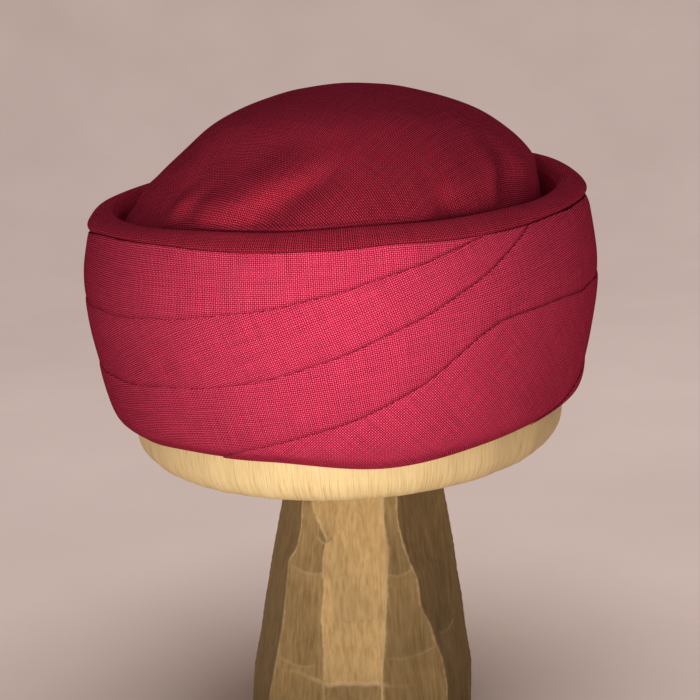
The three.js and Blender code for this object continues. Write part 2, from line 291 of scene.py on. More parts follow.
def make_crimson_weave():
    made, tree, shader = new_material("crimson_weave", 0.9, Specular_IOR_Level=0.0)
    place = add_node(tree, "ShaderNodeUVMap", uv_map="flat").outputs[0]
    split = add_node(tree, "ShaderNodeSeparateXYZ", {0: place}).outputs
    uneven = grain(tree, place, (0.35, 0.35, 1.0), detail=2.0)
    counted = []
    for direction in (0, 1):
        threads = sum_up(tree, "DIVIDE", split[direction], THREAD)
        counted.append(sum_up(tree, "MULTIPLY_ADD", uneven, WANDER, threads))
    cells = [sum_up(tree, "FLOOR", count) for count in counted]
    halves = [sum_up(tree, "MULTIPLY", sum_up(tree, "FRACT", count), math.pi) for count in counted]
    across = [sum_up(tree, "SINE", half) for half in halves]
    odd = sum_up(tree, "PINGPONG", sum_up(tree, "ADD", *cells), 1.0)
    heights = []
    for mine, other, lift in ((0, 1, 1.0), (1, 0, -1.0)):
        over = sum_up(tree, "MULTIPLY_ADD", odd, 2 * lift, -lift)
        bow = sum_up(tree, "MULTIPLY_ADD", sum_up(tree, "MULTIPLY", over, across[other]), 0.5, 0.5)
        heights.append(sum_up(tree, "MULTIPLY", across[mine], bow))
    thread_height = sum_up(tree, "MAXIMUM", *heights)
    slubs = sum_up(tree, "ADD", *[grain(tree, place, slub, detail=2.0) for slub in SLUBS])
    # painted shade in the holes and a painted glint on the thread tops, by the height of the threads
    colour = ramp(tree, thread_height, (0.30, HOLE_SHADE_RED), (0.68, THREAD_RED), (0.98, TOP_GLINT_RED))
    # painted light and shade: crossings where one set of threads lies on top are lighter than the
    # others
    colour = tinted(tree, colour, odd, *CROSSING_LIGHT_SHADE_TINT)
    colour = tinted(tree, colour, sum_up(tree, "MULTIPLY", slubs, 0.5), *SLUB_TINT)
    colour = tinted(tree, colour, grain(tree, place, (0.04, 0.05, 1.0)), *CLOUD_TINT)
    # painted shade on the cloth close to a folded edge, from the number kept on the mesh
    shade = add_node(tree, "ShaderNodeAttribute", attribute_name="shade").outputs["Fac"]
    colour = tinted(tree, colour, shade, *PAINTED_SHADE_TINT)
    tree.links.new(colour, shader.inputs["Base Color"])
    inputs = {"Height": thread_height, "Strength": 0.6, "Distance": 0.4 * THREAD * MM}
    tree.links.new(add_node(tree, "ShaderNodeBump", inputs).outputs[0], shader.inputs["Normal"])
    return made


crimson_weave = make_crimson_weave()


def dress_in_cloth(piece, node):
    """The piece takes the cloth, rides on the stand's body and stands for its solid."""
    piece.data.materials.append(crimson_weave)
    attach(piece, "root")
    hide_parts(node)


print(f"{crimson_weave.name}: {10 / THREAD:.0f} threads to the centimetre")

# %% [markdown]
# ## The crown
#
# The crown is a cap of soft cloth over the head. It leans a little to the right and sinks behind the
# band all round. Where it was pushed down, folds run up from the band: a broad bright ridge left of
# the front with a furrow beside it, and softer dents on the right. A cloth simulation would give some
# folds, but not these, so each fold is one row of a table and is pressed into the dome. Two wide rows,
# at the front and the back, keep the cloth clear of the roll.

# %% Rings and folds of the crown
# height, half width, half length minus half width, shift to the right
# the last row mirrors the one before the top, so that the curve is level there
CROWN_RINGS = [
    (9, 88.8, 15, 0),
    (58, 88.6, 15, 0),
    (72, 86.6, 16, -0.6),
    (80, 83.6, 18.2, -1.6),
    (84.6, 81.4, 22.3, -0.6),
    (86.6, 80.6, 20.4, 0.2),
    (92, 78.6, 15.0, 1.6),
    (98, 74.3, 11, 4.4),
    (108, 63.8, 6.5, 6.0),
    (117, 51.3, 3.5, 5.5),
    (124, 33.6, 1.5, 4.8),
    (128, 16.5, 0.5, 4.8),
    (129.3, 0, 0, 4.8),
    (128, -16.5, 0, 4.8),
]
CROWN_TOP = len(CROWN_RINGS) - 2
CROWN_WALL = 1.6
RIM_HEIGHT = 86  # the height of the roll, where the angles of the folds are given
# angle at the rim, lean in degrees for each mm up, then the heights of the lower end, the fullest place
# and the upper end, half spread in degrees, relief
CROWN_FOLDS = [
    (-66, 0.3, 78, 92, 104, 7.0, -1.6),
    (-55.5, 0.4, 78, 92, 102, 3.0, -1.4),
    (-49, 0.4, 78, 92, 102, 3.4, 1.6),
    (-42.5, 0.05, 78, 91, 101, 2.2, -1.6),
    (-37, 0.05, 78, 92, 100, 3.4, 1.2),
    (-30, 0.5, 80, 98, 112, 7.0, 5.6),
    (-19, 0.65, 79, 94, 108, 4.6, -4.4),
    (4, 0.0, 78, 83, 92, 9.0, -0.6),
    (21, 0.0, 78, 91, 98, 4.0, 0.7),
    (27, 0.0, 78, 87, 96, 2.6, -2.6),
    (36, 0.1, 78, 91, 100, 4.0, 0.4),
    (42, 0.12, 78, 97, 109, 2.6, 2.0),
    (50, 0.15, 78, 96, 114, 4.0, -4.6),
    (118, -0.4, 78, 94, 106, 5.0, -1.8),
    (180, 0.0, 78, 84.6, 94, 28.0, -2.8),
    (205, 0.5, 78, 95, 108, 5.0, 1.8),
    (250, 0.6, 78, 94, 104, 4.5, -1.6),
]


def fold_relief(angle, height):
    """How far all the folds together stand out at a place of the crown."""
    total = 0.0
    for rim_angle, lean, foot, fullest, top, spread, relief in CROWN_FOLDS:
        off = (angle - rim_angle - lean * (height - RIM_HEIGHT) + 180) % 360 - 180
        fade = ease(height, foot, fullest) * (1 - ease(height, fullest, top))
        total = total + relief * fade * np.exp(-((off / spread) ** 2) / 2)
    return total


print(f"{len(CROWN_FOLDS)} folds, the deepest {min(fold[-1] for fold in CROWN_FOLDS)} mm")

# %% Make the crown
CROWN_AROUND = 384
DOME_ROWS, WALL_ROWS = 120, 8  # the folded dome needs more rows than the hidden wall
CROWN_WEAVE_TURN = 38  # degrees between the threads and the hat's front


def crown_skin(inset):
    """Rings of one side of the crown cloth from the top down, and the distance down from the top."""
    dome = np.linspace(CROWN_TOP - 0.03, 2, DOME_ROWS)
    steps = np.concatenate([dome, np.linspace(1.8, 0, WALL_ROWS)])[:, None]
    rings = [(step, *row) for step, row in enumerate(CROWN_RINGS)]
    height, half_width, extra, shift = (along(rings, steps, column) for column in (1, 2, 3, 4))
    angles = np.arange(CROWN_AROUND) * 360 / CROWN_AROUND
    soft = waves(angles, height, 0.3, seed=4) * ease(height, 60, 90)
    relief = (fold_relief(angles, height) + soft) * ease(half_width, 0, 45)
    down = inset * ease(height, RIM_HEIGHT, CROWN_RINGS[CROWN_TOP][0])
    narrow = np.maximum(half_width - inset * (1 - ease(height, 110, 129)), 0.3)
    points = on_oval(angles, narrow + relief, height - down, shift, extra)
    run = np.hypot(np.diff(height[:, 0]), np.diff(half_width[:, 0]))
    return points, half_width[0, 0] + np.concatenate([[0.0], np.cumsum(run)])


def crown_flat(run):
    """Places in the flat cloth: round the top, at the distance down from it."""
    angles = np.radians(np.arange(CROWN_AROUND + 1) * 360 / CROWN_AROUND + CROWN_WEAVE_TURN)
    return run[:, None, None] * np.stack([np.sin(angles), -np.cos(angles)], axis=-1)


outside, outside_run = crown_skin(0.0)
inside, inside_run = crown_skin(CROWN_WALL)
crown = skin(
    "crown_cloth",
    np.concatenate([outside, inside[::-1]]),
    np.concatenate([crown_flat(outside_run), crown_flat(inside_run[::-1])]),
)
dress_in_cloth(crown, "crown")

# %% [markdown]
# ## The band and its rolled edge
#
# Behind the pleats is a padded ring, and its upper edge is rolled over so that it shows all the way
# round, a finger's breadth wide. It could be a torus, but the roll is flatter than round, rides higher
# at the back and meets the pleats in a crease that is deep at the sides and shallow at the front. So
# the section is a short line of points, smoothed and carried round the oval while its height and the
# depth of the crease follow tables.

# %% Outline of the band
CREASE = 80.0  # height where the roll meets the pleats
# height, half width
BAND_OUTLINE = [(0, 88.9), (5, 94.7), (12, 96.9), (28, 99.8), (54, 102.6), (CREASE, 99.2)]
# angle, height of the lower edge
HEM = [(-180, 3), (-60, 2), (-40, 3.3), (-20, 3.4), (8, 0), (30, 2.2), (60, 4.2), (80, 5), (180, 3)]
# angle, rise of the rolled edge
RIM_RISE = [(-180, 6), (-130, 6), (-100, 4), (-50, 0), (0, 0), (45, 1), (85, 6), (120, 10), (180, 6)]
# angle, rise of the crease
CREASE_RISE = [
    (-180, 0), (-120, -1.0), (-90, -2.5), (-75, -0.6), (-60, 0.9), (-40, 0.5), (-28, -0.8), (-18, -1.5),
    (0, -1.5), (10, -0.8), (22, -1.4), (38, -0.7), (52, 1.0), (70, 2.2), (110, 2.2), (180, 0),
]
SHOULDER = (1.1, 4.5)  # how deep and how far down the top of the band rounds in under the roll
PRESS_REACH = 3  # how far up the roll a shallow crease fills it
# angle, how much of that depth the crease has
CREASE_PRESS = [(-180, 1), (-125, 0.8), (-90, 0.3), (-10, 0.3), (25, 0.55), (50, 1), (180, 1)]


def turned(angle):
    """The same angle between -180 and 180 degrees."""
    return (angle + 180) % 360 - 180


def hem_at(angle):
    """Height of the lower edge."""
    return along(HEM, turned(angle))


def crease_rise(angle):
    """How far the crease lies above its usual height."""
    return along(CREASE_RISE, turned(angle))


def press_at(angle):
    """Share of the crease's full depth."""
    return along(CREASE_PRESS, turned(angle))


def band_half_width(angle, height):
    """Outside of the wound band: its outline, stretched down to the hem, with its soft waves."""
    hem = hem_at(angle)
    reach = (height - hem) * CREASE / (CREASE - hem)
    soft = waves(angle, height, 0.22, seed=9) * ease(height, 2, 20)
    return along(BAND_OUTLINE, reach) + soft


print(f"widest at {2 * max(width for _, width in BAND_OUTLINE):.0f} mm")


# %% Make the band
def smooth_line(points, pieces):
    """A rounder line through a few points, with so many pieces between each two."""
    given = np.array(points, float)
    padded_line = np.vstack([2 * given[0] - given[1], given, 2 * given[-1] - given[-2]])
    t = np.arange(pieces)[:, None] / pieces
    spans = []
    for a, b, c, d in zip(padded_line, padded_line[1:], padded_line[2:], padded_line[3:]):
        bend = 2 * a - 5 * b + 4 * c - d
        twist = 3 * (b - c) + d - a
        spans.append(b + 0.5 * t * (c - a + t * (bend + t * twist)))
    return np.vstack([*spans, given[-1:]])


BAND_RECESS = 3.9  # depth of the padding's face behind the outline
BAND_BOTTOM = 14.0
BAND_INNER = 89.2  # half width of its inner wall
BAND_INNER_TOP = 72.0  # height where the inner wall meets the roll
BAND_AROUND = 540
LEDGE = 1.6  # how far below the roll the padding's face ends
SIDE_FROM, SIDE_FULL = 20, 70  # angles between which the front section turns into the side one
# height above the crease, depth in from the outline at the front and at the sides
ROLL_SECTION = [
    (-0.2, 1.7, 2.0), (0.2, 1.35, 1.5), (0.6, 1.4, 1.0), (1.2, 1.9, 0.55), (1.9, 2.7, 0.5),
    (2.6, 3.8, 1.1), (3.3, 5.1, 2.1), (3.85, 6.5, 3.6), (4.2, 7.8, 5.6), (4.35, 9.0, 7.8),
    (4.0, 10.4, 10.2), (2.2, 11.4, 12.4),
]
ROLL_FOOT = ROLL_SECTION[0][0]
ROLL_HEIGHT = max(row[0] for row in ROLL_SECTION) - ROLL_FOOT


def band_section(angle):
    """One closed section of the padding, as points in metres."""
    foot = CREASE + ROLL_FOOT + crease_rise(angle)
    rise = along(RIM_RISE, turned(angle)) + waves(angle, 0.0, 0.3, seed=12) - crease_rise(angle)
    edge = band_half_width(angle, CREASE)
    face = np.linspace(BAND_BOTTOM, foot - LEDGE, 8)
    outer = on_oval(angle, band_half_width(angle, face) - BAND_RECESS, face)
    ledge = on_oval(angle, np.array([edge - BAND_RECESS]), foot)
    up, front_depth, side_depth = smooth_line(ROLL_SECTION, 5).T
    to_side = ease(abs(turned(angle)), SIDE_FROM, SIDE_FULL)
    depth = front_depth + (side_depth - front_depth) * to_side
    depth = depth - SHOULDER[0] * (1 - press_at(angle)) * np.clip(1 - up / PRESS_REACH, 0, 1)
    stretch = 1 + rise / ROLL_HEIGHT
    roll = on_oval(angle, edge - depth, foot + (up - ROLL_FOOT) * stretch)
    inner_heights = np.linspace(BAND_INNER_TOP, BAND_BOTTOM, 6)
    inner = on_oval(angle, np.full(len(inner_heights), BAND_INNER), inner_heights)
    return np.vstack([outer, ledge, roll, inner])


def walk(points):
    """Distance along rows of points in metres, given in millimetres."""
    return np.concatenate([[0.0], np.cumsum(np.linalg.norm(np.diff(points, axis=0), axis=1))]) / MM


band_angles = np.arange(BAND_AROUND + 1) * 360 / BAND_AROUND
band_rows = np.stack([band_section(angle) for angle in band_angles])
ring_run = walk(band_rows[:, 0])
section_runs = np.stack([walk(np.vstack([row, row[:1]])) for row in band_rows])
band_flat = np.stack(np.broadcast_arrays(ring_run[:, None], section_runs), axis=-1)
band = skin("band_roll", band_rows[:-1], band_flat, ring=True)
dress_in_cloth(band, "band")
print(f"the roll is {ring_run[-1]:.0f} mm round")

# %% [markdown]
# ## The two wound pleats
#
# Each pleat is a long strip with a folded upper edge. It starts at the hem, climbs, goes round the
# back and ends under the roll, and the next turn always lies over the lower edge of the one above.
# That order is what makes the hat look wound. So each pleat knows which one covers it: where it is
# covered it sinks by one layer, and towards its own fold it comes up to the outside again. The cloth
# is so thin that the step alone would show as a broken line, so a soft shade beside each fold is
# painted into the cloth's colour from a number kept on the mesh.

# %% Edges of the pleats
# angle, height, spread and depth of the places where a stitch holds a fold down
PUCKERS = [(3.5, 67.0, 1.4, 0.55), (6.5, 68.5, 1.0, 0.35), (-8, 20.5, 1.2, 0.3), (30, 76, 1.4, 0.4)]
# angle, height of the folded upper edge
FRONT_EDGE = [
    (-31, 4.2), (-24, 8), (4, 22.5), (14, 30.5), (33, 49), (46, 51), (180, 52), (306, 53.5),
    (338, 58), (359, 65), (384, 77), (390, CREASE),
]
SIDE_EDGE = [
    (48, 4.5), (54, 7.5), (78, 17), (110, 25), (296, 27.5), (332, 31.7), (346, 36.7), (385, 62.4),
    (402, CREASE),
]
# angle, turn of the threads from the level
FRONT_THREADS = [(-31, 45), (95, 40), (255, 20), (402, 20)]
SIDE_THREADS = [(48, 30), (120, 30), (240, 8), (450, 8), (560, 0), (752, 0)]
# where each starts and ends, which one covers it, and the turn before that one lies over it
PLEATS = {
    "front_pleat": dict(
        edge=FRONT_EDGE, threads=FRONT_THREADS, start=-31, end=402, over="side_pleat", lag=0
    ),
    "side_pleat": dict(
        edge=SIDE_EDGE, threads=SIDE_THREADS, start=48, end=752, over="front_pleat", lag=360
    ),
}
CREASE_GAP = 0.2  # between the roll and the pleats
# angle, how far a covered layer lies under the one over it
LAYERS = [
    (-180, 0.6), (-120, 0.4), (-60, 0.35), (-32, 0.3), (-8, 0.6), (25, 0.7), (70, 0.55), (180, 0.6),
]
FOLD_SHARE = 0.45  # radius of a folded edge as a share of that: two layers of thin cloth
BEVEL = (0.4, 2.4)  # how deep and how far down a folded edge rounds in
DIP = (0.35, 2.5)  # how deep and how far up the cloth above a folded edge dips towards it
# the shade above a folded edge is painted into the cloth's colour
PAINTED_SHADE_REACH = 1.1  # how far up the cloth above a folded edge lies in its shade
BULGE = 0.3  # how far the face of a pleat swells between its edges
THINNED = 0.4  # how much of its thickness a pleat loses under the roll
LIFT_FROM = 62.0  # the crease's rise carries the cloth above this height with it
TUCK = 7.0  # how far a pleat reaches under the next one
LIFT = 0.8  # how far a covered lower edge stays above the hem
EASE_UNDER = 30  # degrees over which a pleat sinks before the next one starts


def layer_at(angle):
    """Depth of one layer."""
    return along(LAYERS, turned(angle))


def shoulder(angle, height):
    """How far the top of the band rounds in under the roll."""
    deep, far = SHOULDER
    return deep * press_at(angle) * np.clip(1 - (CREASE - height) / far, 0, 1) ** 2


def puckers(angle, height):
    """How far stitches pull the cloth in."""
    total = 0.0
    for place, up, spread, depth in PUCKERS:
        aside = turned(angle - place) * math.pi / 180 * BAND_OUTLINE[-1][1]
        total = total + depth * np.exp(-(aside**2 + (height - up) ** 2) / spread**2)
    return total


def upper_edge(pleat, angle):
    """Height of a pleat's fold, which hand work leaves uneven."""
    uneven = waves(angle, 0.0, 0.3, seed=21, most_turns=26)
    return min(along(pleat["edge"], angle) + uneven, CREASE - CREASE_GAP)


def cover_edge(pleat, angle):
    """Upper edge of the pleat that covers this one, or None where that has not started."""
    over = PLEATS[pleat["over"]]
    there = angle - pleat["lag"]
    return None if there < over["start"] else upper_edge(over, there)


def share_under(pleat, angle):
    """How far a pleat has sunk before the next one starts, from 0 to 1."""
    begin = PLEATS[pleat["over"]]["start"] + pleat["lag"]
    return ease(angle, begin - EASE_UNDER, begin)


def lower_edge(pleat, angle):
    """Height of a pleat's lower edge: at the hem, or tucked under the next pleat."""
    free = hem_at(angle) + LIFT * share_under(pleat, angle)
    cover = cover_edge(pleat, angle)
    return free if cover is None else max(free, cover - TUCK)


def sunk(pleat, angle, height):
    """Depth of the pleat's outside under the band's outline, at each height of one section."""
    top = upper_edge(pleat, angle)
    cover = cover_edge(pleat, angle)
    if cover is None:
        return layer_at(angle) * share_under(pleat, angle) * (top - height) / (top - hem_at(angle))
    below = layer_at(angle) + sunk(PLEATS[pleat["over"]], angle - pleat["lag"], height)
    climb = np.clip((top - height) / max(top - cover, 0.5), 0, 1)
    return np.where(height < cover, below, layer_at(angle) * climb)


for name, pleat in PLEATS.items():
    print(f"{name} goes {(pleat['end'] - pleat['start']) / 360:.2f} times round")

# %% Sections of a pleat
PLEAT_STEP = 1.0  # degrees between sections
MEAN_HALF_WIDTH = 101.0  # of the wound band, where the threads are measured
ARC = np.radians(np.arange(15, 180, 30))
FACE_STEPS = (1 - np.cos(np.linspace(0, math.pi, 32))) / 2  # closer together towards both edges


def pleat_section(pleat, angle):
    """Heights and depths of one closed section: face, fold, back and lower edge, and its painted shade.
    """
    low, top = lower_edge(pleat, angle), upper_edge(pleat, angle)
    under_roll = ease(top, CREASE - 4, CREASE - 1)
    r = FOLD_SHARE * layer_at(angle) * (1 - THINNED * under_roll)
    cover = cover_edge(pleat, angle)
    lip = np.clip(low if cover is None else cover, low + 2 * r, top - 3 * r)
    tuck = np.linspace(low + r, lip, 6)
    face = lip + (top - r - lip) * FACE_STEPS[1:]
    back = np.linspace(top - r, low + r, 12)
    heights = np.concatenate([tuck, face])
    front_depth = sunk(pleat, angle, heights)
    bulge = BULGE * np.sin(math.pi * np.clip((heights - lip) / (top - lip), 0, 1))
    share = layer_at(angle) / max(depth for _, depth in LAYERS)
    free = share * (1 - under_roll)
    bulge = bulge - free * BEVEL[0] * np.clip(1 - (top - heights) / BEVEL[1], 0, 1) ** 2
    if cover is not None:
        bulge = bulge - share * DIP[0] * np.clip(1 - np.abs(heights - lip) / DIP[1], 0, 1) ** 2
    fold_depth, foot_depth = front_depth[-1] - bulge[-1] + r, front_depth[0] + r
    rows = [
        np.stack([heights, front_depth - bulge]),
        np.stack([top - r + r * np.sin(ARC), fold_depth - r * np.cos(ARC)]),
        np.stack([back, np.interp(back, heights, front_depth) + 2 * r]),
        np.stack([low + r - r * np.sin(ARC), foot_depth + r * np.cos(ARC)]),
    ]
    section = np.hstack(rows)
    shade = np.zeros(section.shape[1])
    # painted shade on the cloth just above the fold of the pleat that covers it
    if cover is not None:
        shade[: len(heights)] = share * np.exp(-(((heights - lip) / PAINTED_SHADE_REACH) ** 2))
    return section, shade


outline_heights = np.linspace(0, CREASE, 161)
outline_run = walk(on_oval(90.0, band_half_width(90.0, outline_heights), outline_heights))


def pleat_rows(pleat):
    """Points of all sections of a pleat, their places in the flat strip and their painted shade."""
    angles = np.arange(pleat["start"], pleat["end"] + PLEAT_STEP / 2, PLEAT_STEP)
    sections, shades = zip(*[pleat_section(pleat, angle) for angle in angles])
    sunken = [d + shoulder(a, h) + puckers(a, h) for a, (h, d) in zip(angles, sections)]
    widths = [band_half_width(a, h) - d for a, d, (h, _) in zip(angles, sunken, sections)]
    heights = [h + crease_rise(a) * ease(h, LIFT_FROM, CREASE) for a, (h, _) in zip(angles, sections)]
    rows = np.stack([on_oval(a, w, h) for a, w, h in zip(angles, widths, heights)])
    middle = on_oval(angles, np.full(len(angles), MEAN_HALF_WIDTH), np.zeros(len(angles)))
    step = np.diff(walk(middle), prepend=0.0)
    turn = np.radians(along(pleat["threads"], angles))
    line = np.cumsum(step[:, None] * np.stack([np.cos(turn), -np.sin(turn)], axis=-1), axis=0)
    upright = np.stack([np.sin(turn), np.cos(turn)], axis=-1)
    climb = np.stack([np.interp(np.append(h, h[0]), outline_heights, outline_run) for h, _ in sections])
    return rows, line[:, None] + climb[..., None] * upright[:, None], np.concatenate(shades)


# %% Make the pleats
strips = []
for name, pleat in PLEATS.items():
    rows, flat, shade = pleat_rows(pleat)
    strip = skin(name + "_cloth", rows, flat)
    # the painted shade beside the folds goes onto the mesh, for the cloth's colour
    keep_on_mesh(strip, "shade", shade)
    dress_in_cloth(strip, name)
    strips.append(strip)

# %% [markdown]
# ## The pale block
#
# The hat sits round an oval block of pale wood. Only its rounded lower edge shows, with fine upright
# grain, and the tool left it a little uneven. A lathe would make it round, so rings of the same oval
# are used again. The grain is noise that is squeezed round the block and stretched upwards.

# %% Make the block
# height, half width
BLOCK_RINGS = [
    (-14.2, 75.5), (-13.2, 79.5), (-10, 84), (-5, 86.6), (1, 87.3), (6, 87), (9, 85.6), (11.5, 82),
    (12.5, 77),
]
BLOCK_AROUND = 400
BLOCK_UP = 60
BLOCK_MEAN_RADIUS = 94  # of its oval, where the grain is measured


def make_pale_wood():
    made, tree, shader = new_material("pale_wood", 0.62, Specular_IOR_Level=0.3)
    place = add_node(tree, "ShaderNodeUVMap", uv_map="flat").outputs[0]
    fine = grain(tree, place, (1.6, 0.05, 1.0), detail=4.0, roughness=0.75)
    broad = grain(tree, place, (0.15, 0.03, 1.0))
    tones = (0.30, (0.46, 0.29, 0.105)), (0.44, (0.69, 0.50, 0.225)), (0.72, (0.84, 0.66, 0.36))
    colour = ramp(tree, fine, *tones)
    colour = tinted(tree, colour, broad, 0.84, 1.16)
    tree.links.new(colour, shader.inputs["Base Color"])
    bump = add_node(tree, "ShaderNodeBump", {"Height": fine, "Strength": 0.4, "Distance": 0.3 * MM})
    tree.links.new(bump.outputs[0], shader.inputs["Normal"])
    return made


block_steps = np.linspace(0, len(BLOCK_RINGS) - 1, BLOCK_UP)[:, None]
block_table = [(step, *row) for step, row in enumerate(BLOCK_RINGS)]
block_angles = np.arange(BLOCK_AROUND) * 360 / BLOCK_AROUND
block_heights = along(block_table, block_steps, 1)
block_uneven = waves(block_angles, block_heights, 0.18, seed=31, most_turns=30)
block_chips = waves(block_angles, block_heights, 0.2, seed=33, most_turns=120)
block_uneven += block_chips * (1 - ease(block_heights, -13, -9))
block_widths = along(block_table, block_steps, 2) + block_uneven
block_rows = on_oval(block_angles, block_widths, block_heights)
block_round = np.linspace(0, 2 * math.pi * BLOCK_MEAN_RADIUS, BLOCK_AROUND + 1)
block_flat = np.stack(np.broadcast_arrays(block_round, walk(block_rows[:, 0])[:, None]), axis=-1)
block = skin("block_wood", block_rows, block_flat)
block.data.materials.append(make_pale_wood())
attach(block, "root")
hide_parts("stand_block")
print(f"the block shows {-BLOCK_RINGS[0][0]:.0f} mm below the hem")

# %% [markdown]
# ## The hewn post
#
# The post was cut with an adze: ten long faces that taper upwards, with wavering edges that handling
# has worn pale. A turned or extruded post would be too true. Here each ring is a ten-sided outline
# whose corners wander with the height, and the faces are hollowed a little, as the blade leaves them.
# The distance to the nearest edge is kept on the mesh, so that the finish can pale the edges.

# %% Faces of the post
post_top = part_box("stand_post")[1].z / MM
POST_TURN = -8  # degrees that the front face is turned from the front
# height, corner radius, shift
POST_RINGS = [(0, 47.8, -2.2), (19, 46.9, -0.4), (74, 38, 2.8), (post_top, 29.5, 5.6)]
# height, then the angles of the four edges that show: left, front left, front right, right
POST_EDGES = [
    (0, -50, -12, 15, 54),
    (15, -49, -12.3, 15.3, 54),
    (30, -47, -14, 16, 53),
    (38, -46.5, -14.8, 16.8, 49.5),
    (47, -45.5, -16, 18, 46.5),
    (56, -45.5, -17.5, 19, 41),
    (66, -46.5, -17, 20, 40),
    (73, -47, -19.2, 21, 36.5),
    (80, -41.5, -19.5, 22, 33),
    (84, -40.5, -18.5, 21, 31.5),
    (89, -40, -23, 20, 30),
    (94, -41, -27.5, 19.5, 29),
    (99, -41.5, -32, 19.5, 29.5),
    (post_top, -41, -33, 19, 29.5),
]
# angle, height of the ledge above the foot, how far it stands out
POST_LEDGE = [
    (-180, 19, 0), (-60, 30, 0), (-30, 30, 0.3), (-13, 28.5, 0.9), (16, 28, 0.9),
    (22, 26, 0.2), (60, 21, 0), (180, 19, 0),
]
# angle and height of the lower end of a stroke of the blade, half width in degrees, length, depth
POST_CHOPS = [
    (-20, 84, 6.5, 18, 0.8), (-31, 71, 15, 26, 0.5), (-33, 33, 14, 34, 0.4),
    (29, 70, 10, 24, 0.5), (1, 52, 15, 40, 0.25), (34, 36, 16, 30, 0.4), (66, 40, 12, 40, 0.4),
]
# tone of each face, from the one right of the front round by the right, with the front last
FACE_TONES = [0.52, 0.37, 0.40, 0.48, 0.52, 0.56, 0.46, 0.46, 0.61, 0.9]
FRONT_FACE = len(FACE_TONES) - 1
BACK_CORNERS = [90, 130, 160, 200, 230, 270]  # angles, which wander with the height
EDGE_RUB = 0.35  # how far the edges are worn down
FACE_HOLLOW = 0.3  # how far the blade hollowed the faces
LEDGE_DARK = 0.4  # how much darker the front face is below the ledge
CHOP_DARK = 0.3
CHOP_SAG = 2.5  # how far the ends of a stroke curve up at its sides
POST_AROUND = 480
POST_UP = 204


def straight(rows, place, column):
    """Value of a column on straight lines between rows, as a blade cuts."""
    table = np.array(rows, float)
    return np.interp(place, table[:, 0], table[:, column])


def corner_angles(height):
    """The ten corners at one height, from the front right one round by the right."""
    left, front_left, front_right, right_side = (along(POST_EDGES, height, k) for k in (1, 2, 3, 4))
    count = len(BACK_CORNERS)
    wander = np.array([waves(height * 3.0, k, 1.2, seed=40 + k, most_turns=5) for k in range(count)])
    behind = np.array(BACK_CORNERS) + wander
    return np.concatenate([[front_right, right_side], behind, [left + 360, front_left + 360]])


def post_ring(height):
    """Outline at one height, with the wear of its edges (0 to 1) and the tone of its faces."""
    corners = corner_angles(height)
    radius = straight(POST_RINGS, height, 1)
    around = np.arange(POST_AROUND) * 360 / POST_AROUND + corners[0]
    ends = np.append(corners, corners[0] + 360)
    face = np.clip(np.searchsorted(ends, around, side="right") - 1, 0, FRONT_FACE)
    half = (ends[face + 1] - ends[face]) / 2
    off = np.radians(around - ends[face] - half)
    reach = radius * np.cos(np.radians(half)) / np.cos(off)
    edge = radius * (np.radians(half) - np.abs(off))
    rubbed = 0.4 + waves(height * 9.0, face * 1.7, 0.2, seed=71, steepest=4.0)
    wear = np.exp(-((edge / np.clip(rubbed, 0.2, 0.9)) ** 2))
    reach = reach - EDGE_RUB * wear
    hollow = 1 + waves(height * 2.5, face * 2.0, 0.35, seed=60, steepest=3.0)
    reach = reach - FACE_HOLLOW * hollow * np.clip(edge / 5, 0, 1)
    ledge, stands_out = (along(POST_LEDGE, turned(around), k) for k in (1, 2))
    ledge = ledge + waves(around, 0.0, 0.4, seed=52, most_turns=40)
    below = 1 - ease(height, ledge - 0.7, ledge + 0.4)
    reach = reach + stands_out * below
    wear = np.maximum(wear, stands_out * np.exp(-(((height - ledge) / 0.6) ** 2)))
    tone = np.array(FACE_TONES)[face]
    tone = np.where(face == FRONT_FACE, tone - LEDGE_DARK * below, tone)
    for chop_angle, chop_height, half_angle, length, depth in POST_CHOPS:
        aside = turned(around - chop_angle) / half_angle
        above = height - chop_height - CHOP_SAG * aside**2
        cut = (1 - ease(np.abs(aside), 0.7, 1.0)) * (1 - np.clip(above / length, 0, 1))
        cut_in = cut * ease(above, -0.5, 0.3)
        reach = reach - depth * cut_in
        tone = tone * (1 - CHOP_DARK * depth * cut_in)
        wear = np.maximum(wear, 0.7 * depth * cut * np.exp(-(((above + 0.4) / 0.4) ** 2)))
    turn = np.radians(around + POST_TURN)
    x = straight(POST_RINGS, height, 2) + reach * np.sin(turn)
    y = -reach * np.cos(turn)
    return np.stack([x, y, np.full(POST_AROUND, height)], axis=-1) * MM, wear, tone


post_heights = np.linspace(0, post_top, POST_UP)
post_rings = [post_ring(height) for height in post_heights]
post = skin("post_wood", np.stack([ring for ring, _, _ in post_rings]))
print(f"{len(post_heights)} rings of {POST_AROUND} points")


# %% Finish of the post
WORN_BROWN = (0.58, 0.42, 0.215)


